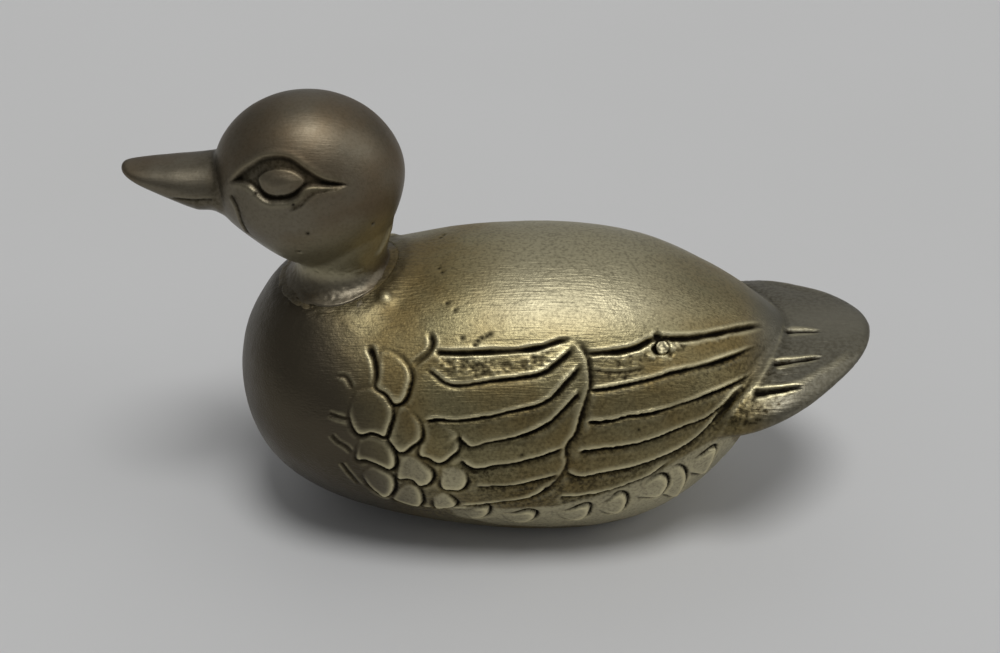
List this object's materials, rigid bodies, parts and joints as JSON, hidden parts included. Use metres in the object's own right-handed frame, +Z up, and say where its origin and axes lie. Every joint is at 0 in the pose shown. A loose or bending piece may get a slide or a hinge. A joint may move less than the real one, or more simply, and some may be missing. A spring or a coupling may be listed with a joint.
{
  "type": "duck figurine",
  "caption": "Small cast brass duck ornament with chased folded wings, a brazed-on head and a closed flat underside on a felt pad.",
  "frame": {"origin": "on the table, under the middle of the duck's box", "axes": "+X from the bill towards the tail, +Y to the duck's right side, +Z up"},
  "size_m": [0.126, 0.0552, 0.0769],
  "materials": {
    "body_brass": "aged satin brass with dark patina in the chased grooves",
    "head_brass": "smooth filed brass with dark olive-brown patina",
    "braze": "rough pitted brazing filler",
    "plug_brass": "bright hammered brass",
    "plate_brass": "dull rolled brass sheet",
    "solder": "dull grey solder bead",
    "felt": "short dark green felt"
  },
  "bodies": {
    "root": {"body_casting": "body_brass", "head_casting": "head_brass", "neck_braze": "braze", "core_plugs": "plug_brass", "base_plate": "plate_brass", "base_solder": "solder", "felt_pad": "felt"}
  },
  "joints": []
}
